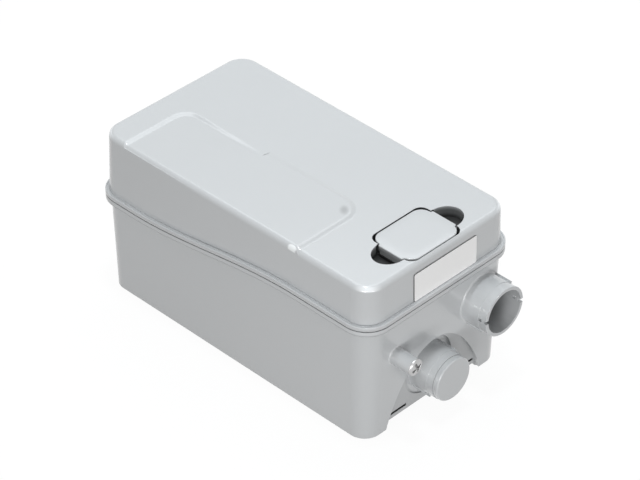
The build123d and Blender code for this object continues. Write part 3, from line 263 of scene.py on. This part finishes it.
def seat_painted_shade(x, across, under_roof):
    """Painted shade on the sides of the hatch seat, in the gap round the lid and on its deep floor,
    each with its share.
    """
    seat = (under_roof.ramp(*seat_floor) * across.ramp(*seat_side)
            * x.ramp(*seat_rear) * x.ramp(*seat_front))
    gap = (seat * under_roof.ramp(*gap_fade) * across.ramp(*gap_side)
           * x.ramp(*gap_rear) * x.ramp(*gap_front))
    recess, pit = seat * under_roof.ramp(*recess_fade), seat * under_roof.ramp(*pit_fade)
    return [(recess, 0.45), (gap, 0.1), (pit, 0.06)]


def pipe_end_painted_shade(x, y, z, across):
    """Painted shade in the bell recess, the bracket slots and the bore of the discharge stub, each with
    its share.
    """
    behind_front = front_foot + z * math.tan(tank_draft) - x
    bell = (behind_front.ramp(*bell_fade) * behind_front.ramp(*bell_back) * z.ramp(*bell_top)
            * across.ramp(*bell_side) * x.ramp(*bell_rear))
    slot = (behind_front.ramp(*slot_fade) * across.ramp(*slot_inner) * across.ramp(*slot_outer)
            * (z - slot_up).math("ABSOLUTE").ramp(*slot_half) * x.ramp(*slot_rear))
    off_y, off_z = y - port_side, z - port_up
    bore_shade = ((off_y * off_y + off_z * off_z).math("SQRT").ramp(*throat_round)
              * x.ramp(*throat_fade) * x.ramp(*throat_rear))
    return [(bell, 0.74), (slot, 0.08), (bore_shade, 0.45)]


def roof_painted_light(x, y, across, under_roof):
    """Painted shade on the panel's front step and as a dot at its corner, and painted highlights on
    the rounded corners of the roof and as a spot on the near edge, each with its share."""
    # Painted shade on the front step, and a dot of painted shade at the panel's corner.
    slope = (x.ramp(*slope_rear) * x.ramp(*slope_front) * y.ramp(*slope_side)
             * under_roof.ramp(*slope_fade))
    off_x, off_y = x - shade_dot_x, y - shade_dot_y
    narrow, long = off_x + off_y, (off_x - off_y) * shade_dot_flat
    shade_dot = (narrow * narrow + long * long).math("SQRT").ramp(*shade_dot_fade)
    # Painted highlights on the roof's rounded corners and on a spot of its near edge.
    corner = (across.ramp(half_across - corner_from, half_across - corner_full)
              * (x - mid_x).math("ABSOLUTE").ramp(half_along - corner_from, half_along - corner_full)
              * under_roof.ramp(*corner_top) * under_roof.ramp(*corner_low))
    past_x, past_y = (x - glint_x) * (1.0 / glint_long), (y - glint_y) * (1.0 / glint_wide)
    glint = ((past_x * past_x + past_y * past_y).math("SQRT").ramp(*glint_edge)
             * under_roof.ramp(*glint_low))
    return [(slope, 0.93), (shade_dot, 0.66), (corner, 1.6), (glint, 1.62)]


def surfaced(material, grain, rough, sockets):
    """Ends a material with its shader, whose roughness wanders with the grain."""
    shader = grain.node("ShaderNodeBsdfPrincipled", None,
                        {"Roughness": rough + (grain - 0.5) * rough_wander, **sockets})
    grain.node("ShaderNodeOutputMaterial", None, {"Surface": shader})
    return material


def moulded(name, lips_and_painted_light):
    """The housing's plastic. The flag adds the lips of the rims and ten tones of painted shade and
    painted highlight.

    The tones are shares of the base colour that stand in for light and shade which the lamps don't
    give. They are fixed to the part, so they look the same from every side and in every pose.
    """
    material, paint = blank(name)
    place = paint.node("ShaderNodeTexCoord", output="Object")
    cloud, grain = place.noise(cloud_scale, 4.0), place.noise(grain_scale, 2.0)
    colour = cloud.blend(tone(housing_colour, cloud_share), tone(housing_colour, 1.0))
    height = grain * grain_high
    if lips_and_painted_light:
        x, y, z = (place.axis(letter) for letter in "XYZ")
        height = height + rim_lips(x, z)
        across = y.math("ABSOLUTE")
        under_roof = roof_mid - (x - mid_x) * roof_fall - z
        tones = seat_painted_shade(x, across, under_roof) + pipe_end_painted_shade(x, y, z, across)
        for mask, share in tones + roof_painted_light(x, y, across, under_roof):
            colour = mask.blend(colour, tone(housing_colour, share))
    bump = grain.node("ShaderNodeBump", None, {"Height": height, "Strength": 1.0, "Distance": 1.0})
    return surfaced(material, grain, housing_rough, {"Base Color": colour, "Coat Weight": 1.0,
                                                     "Coat Roughness": coat_rough, "Normal": bump})


def wear(material, *names):
    """Puts the material in the slots of those CAD nodes."""
    for name in names:
        mesh = nodes[name].data
        mesh.materials.clear()
        mesh.materials.append(material)


housing = moulded("housing_plastic", lips_and_painted_light=False)
painted_light_plastic = moulded("plastic_with_painted_light", lips_and_painted_light=True)
wear(painted_light_plastic, "tank", "cover", "discharge_stub")
wear(housing, "inlet_stub", "screw_boss", "gland_pad", "hatch", "inlet_plug", "boss_screw")

# Rim beads.
# Three fine rounded beads of the same plastic follow the joint: one at the foot of the cover's
# wall, one along the outer edge of its ledge, and one under the rim of the tank.
rim_half_x, rim_half_y, rim_corner = 0.150, 0.083, 0.022
edge_inset, edge_radius, edge_sunk = 0.00075, 0.0007, 0.0001
foot_inset, foot_radius = 0.0031, 0.00045
bead_sides, unbroken = 12, 180.0


def rim_round(inset, step=0.0015):
    """The rounded plan of the rims, drawn in by inset, as places and the outward direction at each.

    Straight sides are evenly divided, and each corner is a quarter circle about a centre that lies
    rim_corner inside both sides.
    """
    centre_x, centre_y = rim_half_x - rim_corner, rim_half_y - rim_corner
    radius = rim_corner - inset
    places, outward = [], []
    for quarter, (side_x, side_y) in enumerate(((1, 1), (-1, 1), (-1, -1), (1, -1))):
        turn = np.linspace(0.0, math.pi / 2, int(radius * math.pi / 2 / step) + 2) + quarter * math.pi / 2
        direction = np.stack([np.cos(turn), np.sin(turn)], axis=1)
        corner = np.array([side_x * centre_x, side_y * centre_y]) + radius * direction
        straight = 2.0 * (centre_x if quarter % 2 == 0 else centre_y)
        share = np.arange(1, int(straight / step)) / int(straight / step)
        along = np.array([-math.sin(turn[-1]), math.cos(turn[-1])])
        places += [corner, corner[-1] + share[:, None] * straight * along]
        outward += [direction, np.broadcast_to(direction[-1], (len(share), 2))]
    return np.concatenate(places), np.concatenate(outward)


def soft(t):
    """A soft climb from 0 to 1: t times t times 3 less 2 t, level before 0 and past 1."""
    t = np.clip(t, 0.0, 1.0)
    return t * t * (3.0 - 2.0 * t)


def joint_height(x):
    """Height of the joint line: level, a soft climb, and level again."""
    return seam_rear + (seam_front - seam_rear) * soft((x - climb_from) / (climb_to - climb_from))


def tube_faces(number):
    """The four-sided faces of a tube whose rings are the rows of number, the points' numbers."""
    after = np.roll(number, -1, axis=1)
    return np.stack([number[:-1], number[1:], after[1:], after[:-1]], axis=-1).reshape(-1, 4)


def solid(name, points, groups, crease=40.0):
    """An object from points and groups of faces, turned outward where its volume comes out negative.

    The volume is the sum of the pyramids from the origin over the triangles of each face's fan.
    """
    volume = 0.0
    for faces in groups:
        hub, rims = points[faces[:, :1]], points[faces[:, 1:]]
        volume += np.einsum("ijk,ijk->", np.broadcast_to(hub, rims[:, 1:].shape),
                            np.cross(rims[:, :-1], rims[:, 1:]))
    if volume < 0.0:
        groups = [faces[:, ::-1] for faces in groups]
    mesh = bpy.data.meshes.new(name)
    mesh.from_pydata(points.tolist(), [], [face for faces in groups for face in faces.tolist()])
    mesh.polygons.foreach_set("use_smooth", np.ones(len(mesh.polygons), dtype=bool))
    mesh.set_sharp_from_angle(angle=math.radians(crease))
    piece = bpy.data.objects.new(name, mesh)
    scene.collection.objects.link(piece)
    return piece


def finished(piece, material, body):
    """Gives a piece its material and its body."""
    piece.data.materials.append(material)
    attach(piece, body)
    return piece


def bead(name, body, inset, lift, radius):
    """A bead: a circle of points carried along the plan of the rim at the height of the joint."""
    plan, outward = rim_round(inset)
    turn = np.linspace(0.0, 2.0 * math.pi, bead_sides, endpoint=False)
    flat = plan[:, None, :] + outward[:, None, :] * (radius * np.cos(turn))[None, :, None]
    height = joint_height(plan[:, :1] + mid_x) + lift + radius * np.sin(turn)[None, :]
    grid = np.concatenate([flat + np.array([mid_x, 0.0]), height[:, :, None]], axis=2)
    number = np.arange(height.size).reshape(height.shape)
    faces = tube_faces(np.concatenate([number, number[:1]]))
    finished(solid(name, grid.reshape(-1, 3), [faces], unbroken), housing, body)


bead("ledge_edge_bead", "cover", edge_inset, rim_up - edge_sunk, edge_radius)
bead("ledge_foot_bead", "cover", foot_inset, rim_up, foot_radius)
bead("tank_rim_bead", "housing", edge_inset, edge_sunk - rim_down, edge_radius)

# Roof step.
# The level panel on the near side is moulded in the cover. It meets the sloping roof in a soft
# S-shaped step: down to the panel at the rear, down from it at the pipe end, and lost between.
panel_rear, panel_front, panel_inner, panel_corner = mid_x - 0.117, mid_x + 0.066, -0.011, 0.013
panel_low, panel_high = 0.1484, 0.1496
step_top, step_wide, step_wide_front = 0.0028, 0.0046, 0.0056
step_proud, step_thick = 0.00002, 0.0012
wall_half, roof_edge, near_inset = 0.0779, 0.0045, 0.0006
side_steps, bend_steps, across_steps = 160, 40, 17


def roof_height(x):
    """Height of the roof plane at x."""
    return roof_mid - (x - mid_x) * roof_fall


def step_planes(x, y):
    """Heights of the panel and of the roof. Past the start of the rounded near edge, both drop by
    roof_edge less the side of a right triangle in its circle."""
    past = np.clip(-wall_half + roof_edge - y, 0.0, roof_edge)
    drop = roof_edge - np.sqrt(roof_edge ** 2 - past ** 2)
    slope = (panel_high - panel_low) / (panel_front - panel_rear)
    return panel_low + (x - panel_rear) * slope - drop, roof_height(x) - drop


def roof_step():
    """The S-shaped step, as a grid along the panel's outline and across it.

    Across, the height goes from one plane to the other by a soft climb. Where the roof is the
    higher plane the step lies inside the outline, and elsewhere outside.
    """
    up = np.linspace(near_inset - wall_half, panel_inner - panel_corner, side_steps)
    over = np.linspace(panel_rear + panel_corner, panel_front - panel_corner, side_steps)
    quarter = np.linspace(0.0, math.pi / 2, bend_steps)[1:-1]
    back = quarter[::-1]
    bend_y = panel_inner - panel_corner + panel_corner * np.sin(quarter)
    level, full = np.zeros(side_steps), np.ones(side_steps)
    x = np.concatenate([full * panel_rear, panel_rear + panel_corner * (1.0 - np.cos(quarter)), over,
                        panel_front - panel_corner * (1.0 - np.cos(back)), full * panel_front])
    y = np.concatenate([up, bend_y, full * panel_inner, bend_y[::-1], up[::-1]])
    out_x = np.concatenate([-full, -np.cos(quarter), level, np.cos(back), full])
    out_y = np.concatenate([level, np.sin(quarter), full, np.sin(back), level])
    panel, roof = step_planes(x, y)
    inward = np.where(roof > panel, -1.0, 1.0)
    wide = step_wide + (step_wide_front - step_wide) * np.clip(out_x, 0.0, 1.0) ** 2
    t = np.linspace(0.0, 1.0, across_steps)
    across = step_top + (inward * wide)[:, None] * t
    place_x, place_y = x[:, None] + out_x[:, None] * across, y[:, None] + out_y[:, None] * across
    panel, roof = step_planes(place_x, place_y)
    high, low = np.maximum(panel, roof), np.minimum(panel, roof)
    upper = np.stack([place_x, place_y, high + (low - high) * soft(t) + step_proud], axis=2)
    lower = upper[:, ::-1] - np.array([0.0, 0.0, step_thick])
    ring = np.concatenate([upper, lower], axis=1)
    number = np.arange(ring.shape[0] * ring.shape[1]).reshape(ring.shape[:2])
    ends = np.stack([number[0], number[-1][::-1]])
    return solid("roof_step", ring.reshape(-1, 3), [tube_faces(number), ends])


finished(roof_step(), painted_light_plastic, "cover")

# Hatch lid.
# The loose moulded lid lies in a deep seat with a wide gap, whose walls carry painted shade. Its
# corners are rounder than the seat's, and a grip at each end reaches into the finger scoops. Its
# skirt stands on the gasket.
lid_x, lid_half, lid_corner = mid_x + 0.1203, (0.0211, 0.0280), 0.0098
grip_shift, grip_half, grip_corner = 0.0013, (0.0122, 0.0300), 0.0012
grip_blend, lid_round = 0.0003, 0.0008
skirt_out, skirt_in, skirt_top, skirt_low = 0.0011, 0.0029, 0.003, 0.0082
lid_rays, ray_reach = 720, 0.06


def box_distance(x, y, half, corner):
    """How far outside a rounded box a point is: negative inside, and the true distance near its edge."""
    out_x, out_y = np.abs(x) - half[0] + corner, np.abs(y) - half[1] + corner
    return (np.hypot(np.maximum(out_x, 0.0), np.maximum(out_y, 0.0))
            + np.minimum(np.maximum(out_x, out_y), 0.0) - corner)


def lid_distance(x, y):
    """The soft minimum of the distances to the lid's two rounded boxes."""
    plate = box_distance(x, y, lid_half, lid_corner)
    grips = box_distance(x - grip_shift, y, grip_half, grip_corner)
    return -grip_blend * np.log(np.exp(-plate / grip_blend) + np.exp(-grips / grip_blend))


def outline(distance, inset, turn):
    """Rays from the middle, each halved down to the place where the distance is minus inset."""
    near, far = np.zeros_like(turn), np.full_like(turn, ray_reach)
    for _ in range(40):
        half = (near + far) / 2.0
        inside = distance(half * np.cos(turn), half * np.sin(turn)) < -inset
        near, far = np.where(inside, half, near), np.where(inside, far, half)
    return np.stack([near * np.cos(turn), near * np.sin(turn)], axis=-1)


def lathed(distance, profile, rays):
    """Rings of a lid or plate: each row of the profile is an inset, a depth and a share of the way out."""
    turn = np.linspace(0.0, 2.0 * math.pi, rays, endpoint=False)
    rings = [np.concatenate([outline(distance, inset, turn) * share, np.full((rays, 1), -depth)], axis=1)
             for inset, depth, share in profile]
    return np.stack(rings)


def capped(name, rings, crease=40.0):
    """A solid through rings of points, each end closed by a fan on its middle."""
    count, around = rings.shape[:2]
    number = np.arange(count * around).reshape(count, around)
    after = np.roll(number, -1, axis=1)
    first = np.stack([number[0], after[0], np.full(around, count * around)], axis=1)
    last = np.stack([after[-1], number[-1], np.full(around, count * around + 1)], axis=1)
    points = np.concatenate([rings.reshape(-1, 3), rings[0].mean(axis=0)[None], rings[-1].mean(axis=0)[None]])
    return solid(name, points, [tube_faces(number), first, last], crease)


def hatch_lid():
    """The lid: a flat top, a rounded edge by a quarter circle, the side, and the skirt under it."""
    bend = np.linspace(0.0, math.pi / 2, 7)
    profile = [(lid_round, 0.0, share) for share in (0.25, 0.5, 0.75)]
    profile += [(lid_round * (1.0 - math.sin(a)), lid_round * (1.0 - math.cos(a)), 1.0) for a in bend]
    profile += [(0.0, skirt_top, 1.0), (skirt_out, skirt_top, 1.0), (skirt_out, skirt_low, 1.0),
                (skirt_in, skirt_low, 1.0), (skirt_in, skirt_top, 1.0), (skirt_in, skirt_top, 0.5),
                (skirt_in, skirt_top, 0.1)]
    rings = lathed(lid_distance, profile, lid_rays)
    rings[:, :, 0] += lid_x
    rings[:, :, 2] += roof_height(rings[:, :, 0])
    return capped("hatch_lid", rings)


lid = finished(hatch_lid(), housing, "hatch")
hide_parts("hatch")

# Label plate.
# A blank off-white plate fills its recess on the pipe end of the cover. That it is a laminate with
# a dark core is a guess, which draws the dark line along its edges. Its sides, behind a thin face
# ply, are painted near black as painted shade, which draws the dark line along its edges. The
# faint glow is painted light and no property of the plate: without it the face renders darker than
# in the photograph.
label_side, label_up = 0.0052, 0.1264
label_out = mid_x + half_along - (label_up - joint_up) * math.tan(cover_draft)
label_half, label_corner, label_rays = (0.03425, 0.0123), 0.0011, 360
label_proud, label_thick, label_face_thick = 0.0009, 0.0014, 0.0001
# Near black of the painted shade on the plate's sides, and strength of the painted glow on its face.
edge_shade_colour, face_glow = (0.04, 0.04, 0.04), 0.07


def dress(name, colour, rough, metal=0.0, grain=0.0006, depth=0.02, mottle=0.04, streak=None, recolour=None,
          glow=0.0):
    """A moulded, cast or ground finish: a base colour with faint clouds, and a fine grain as bump.

    colour is linear. grain is the size of the grain in metres, depth its strength, mottle how much
    the colour wanders. streak stretches the grain along X, Y or Z, for turned and drawn metal.
    recolour changes the colour by place, and glow is the strength of a white glow.
    """
    material, paint = blank(name)
    place = paint.node("ShaderNodeTexCoord", output="Object")
    if streak is not None:
        stretch = [0.04 if axis == streak else 1.0 for axis in "XYZ"]
        place = paint.node("ShaderNodeMapping", None, {"Vector": place, "Scale": stretch})
    cloud, fine = place.noise(cloud_scale, 4.0), place.noise(1.0 / grain, 2.0)
    base = cloud.blend(tone(colour, 1.0 - mottle), tone(colour, 1.0 + mottle))
    if recolour is not None:
        base = recolour(place, base)
    bump = paint.node("ShaderNodeBump", None, {"Height": fine, "Strength": depth, "Distance": grain})
    return surfaced(material, fine, rough, {"Base Color": base, "Metallic": metal, "Normal": bump,
                                            "Emission Color": white, "Emission Strength": glow})


def with_painted_edge_shade(place, face_colour):
    """Painted shade on the plate's sides: near black where a point lies further behind the leaning
    face than the face ply is thick.
    """
    lean = (place.axis("Z") - label_up) * math.tan(cover_draft)
    behind = label_out + label_proud - lean - place.axis("X")
    return behind.math("GREATER_THAN", label_face_thick).blend(face_colour, tone(edge_shade_colour, 1.0))


def label_shell():
    """The plate: a rounded box outline with a sharp face edge, leaned back like the wall it is on."""
    profile = [(0.0, 0.0, 0.5), (0.0, 0.0, 1.0), (0.0, label_thick, 1.0), (0.0, label_thick, 0.5)]
    flat = lathed(lambda x, y: box_distance(x, y, label_half, label_corner), profile, label_rays)
    across, up, out = flat[..., 0], flat[..., 1], flat[..., 2] + label_proud
    return capped("label_face", np.stack([
        label_out + out * math.cos(cover_draft) - up * math.sin(cover_draft), label_side + across,
        label_up + up * math.cos(cover_draft) + out * math.sin(cover_draft)], axis=-1))


# The plate's material: painted shade on its sides and a painted glow on its face.
label_with_painted_light = dress("label_with_painted_shade_and_glow", (0.97, 0.965, 0.96), 0.4, mottle=0.005, depth=0.01, recolour=with_painted_edge_shade,
                 glow=face_glow)
label = finished(label_shell(), label_with_painted_light, "cover")
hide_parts("label_plate")

# Mouth of the discharge stub.
# The moulded tube ends in two fine rounded lips, one at its bore and one at its outside, which
# stop at the two notches.
port_end, port_radius, port_bore = mid_x + 0.1704, 0.0213, 0.0184
notch_half = math.asin(0.0018 / port_bore)
bore_thick, bore_inset, outer_thick, outer_inset = 0.0005, 0.00055, 0.0004, 0.00045
lip_sides, lip_steps, lip_taper, lip_least = 10, 120, 0.03, 0.05


def mouth_lip(name, ring_radius, bead_radius, inset):
    """Two half rings: a small circle carried round the axis of the port.

    Towards each end its radius falls by the square root of the angle that is left.
    """
    around = np.linspace(0.0, 2.0 * math.pi, lip_sides, endpoint=False)
    for half, start in (("upper", 0.0), ("lower", math.pi)):
        turn = np.linspace(start + notch_half, start + math.pi - notch_half, lip_steps)
        ends = np.minimum(turn - turn[0], turn[-1] - turn)
        thick = bead_radius * np.sqrt(np.clip(ends / lip_taper, lip_least, 1.0))
        radial = ring_radius + thick[:, None] * np.cos(around)
        grid = np.stack([port_end - inset + thick[:, None] * np.sin(around),
                         port_side + radial * np.cos(turn)[:, None],
                         port_up + radial * np.sin(turn)[:, None]], axis=-1)
        finished(capped(name + "_" + half, grid), housing, "housing")


mouth_lip("bore_lip", port_bore + bore_thick, bore_thick, bore_inset)
mouth_lip("outer_lip", port_radius - outer_thick, outer_thick, outer_inset)

# Boss screw.
# A pan head screw with a cross recess, taken to be stainless steel, is driven into the boss beside
# the ports and closes it.
boss_low, boss_high = (np.array(corner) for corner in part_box("boss_screw"))
head_radius, head_high, dome_share = (boss_high[1] - boss_low[1]) / 2, 0.0028, 0.55
cross_turn, cross_long, cross_wide, cross_deep, cross_bank = math.radians(20.0), 0.0050, 0.0012, 0.0022, 0.22
shank_radius, shank_long = 0.0022, 0.014
screw_rays, screw_rings = 288, 72


def boss_screw_head():
    """The screw: rings from the middle of the head out, over its edge, under it and along the shank.

    The dome drops by the fourth power of the radius. The cross is cut where a point is nearer the
    middle line of an arm than its half width, which narrows with depth and towards the end.
    """
    turn = np.linspace(0.0, 2.0 * math.pi, screw_rays, endpoint=False)
    r, a = np.meshgrid(np.linspace(0.0001, head_radius, screw_rings), turn, indexing="ij")
    dome = -head_high * dome_share * (r / head_radius) ** 4
    u, v = np.abs(r * np.cos(a - cross_turn)), np.abs(r * np.sin(a - cross_turn))
    arm = np.maximum(np.minimum(u, v) / cross_wide, np.maximum(u, v) / cross_long)
    face = dome - cross_deep * soft((1.0 - arm) / cross_bank)
    under = [(head_radius, -head_high), (shank_radius, -head_high), (shank_radius, -head_high - shank_long)]
    rings = [np.stack([face, r * np.cos(a), r * np.sin(a)], axis=-1)]
    rings += [np.stack([np.full(screw_rays, deep), wide * np.cos(turn), wide * np.sin(turn)], axis=-1)[None]
              for wide, deep in under]
    middle = (boss_low + boss_high) / 2
    place = np.array([boss_high[0], middle[1], middle[2]])
    return capped("pan_head_screw", np.concatenate(rings) + place, crease=50.0)


screw = finished(boss_screw_head(), dress("bright_stainless", (0.5, 0.5, 0.5), 0.3, metal=1.0),
                 "housing")
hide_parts("boss_screw")

# Rubber.
# The cord in the rim, the rings, gaskets, feet and the valve's flap are taken to be moulded black
# rubber, each pressed into its seat or groove.
rubber = dress("black_rubber", (0.022, 0.022, 0.022), 0.62, grain=0.0008, depth=0.1, mottle=0.2)
wear(rubber, "rim_seal", "hatch_seal", "plug_ring", "rubber_feet", "shaft_seal", "volute_gasket",
     "outlet_seal", "check_flap")

# Grey fittings.
# Gland, basket, strainer, pipe, valve, air bell, the walls inside and the boxes of the dry bay are
# taken to be plain grey plastic mouldings.
fittings = dress("grey_moulding", (0.26, 0.27, 0.28), 0.45, depth=0.06)
wear(fittings, "cable_gland", "gland_nut", "filter_basket", "suction_strainer", "discharge_pipe",
     "valve_body", "pressure_bell", "capacitor_clamp", "control_box", "control_lid", "chassis", "partition")

# Black fittings.
# The volute, impeller, level switch and terminals are taken to be moulded in glass-filled black
# plastic. Screws hold the volute to the wall behind it.
dark_plastic = dress("black_moulding", (0.018, 0.018, 0.02), 0.5, depth=0.08, mottle=0.2)
wear(dark_plastic, "volute_casing", "impeller", "level_switch", "terminal_block")

# Carbon block.
# The block of the air filter, which the cover hides. It is taken to be pressed activated carbon
# with a porous, uneven surface.
wear(dress("carbon_block", (0.012, 0.012, 0.012), 0.9, grain=0.002, depth=0.6, mottle=0.5), "carbon_filter")

# Motor.
# An enamelled can between two cast end shields, with stacks of sheet steel and copper wire inside,
# as such motors have. The shaft, its nut and the bearings are ground steel.
wear(dress("motor_enamel", (0.02, 0.022, 0.026), 0.38, depth=0.05, mottle=0.15), "motor_housing")
wear(dress("cast_aluminium", (0.42, 0.43, 0.44), 0.5, metal=0.9, grain=0.001, depth=0.15),
     "rear_shield", "front_shield")
wear(dress("sheet_steel", (0.12, 0.12, 0.125), 0.45, metal=0.8, depth=0.1, mottle=0.2),
     "stator_core", "rotor_core")
wear(dress("copper_wire", (0.55, 0.18, 0.07), 0.35, metal=0.9, grain=0.0008, depth=0.3), "stator_windings")
wear(dress("ground_steel", (0.52, 0.52, 0.51), 0.24, metal=1.0, depth=0.04, streak="X"),
     "motor_shaft", "front_bearing", "rear_bearing", "impeller_nut")

# Screws and pin.
# The screws of the cover, motor and volute and the pin of the flap are taken to be stainless steel,
# which waste water doesn't rust.
wear(dress("stainless_screws", (0.5, 0.5, 0.49), 0.3, metal=1.0, depth=0.04),
     "cover_screws", "motor_screws", "volute_screws", "flap_pin")

# Capacitor and board.
# The run capacitor of the motor in a drawn aluminium can, and the green circuit board that
# switches it, as such units have in their dry bay.
wear(dress("drawn_aluminium", (0.6, 0.61, 0.62), 0.3, metal=1.0, depth=0.05, streak="X"), "capacitor")
wear(dress("board_green", (0.01, 0.06, 0.03), 0.4, depth=0.05, mottle=0.2), "circuit_board")
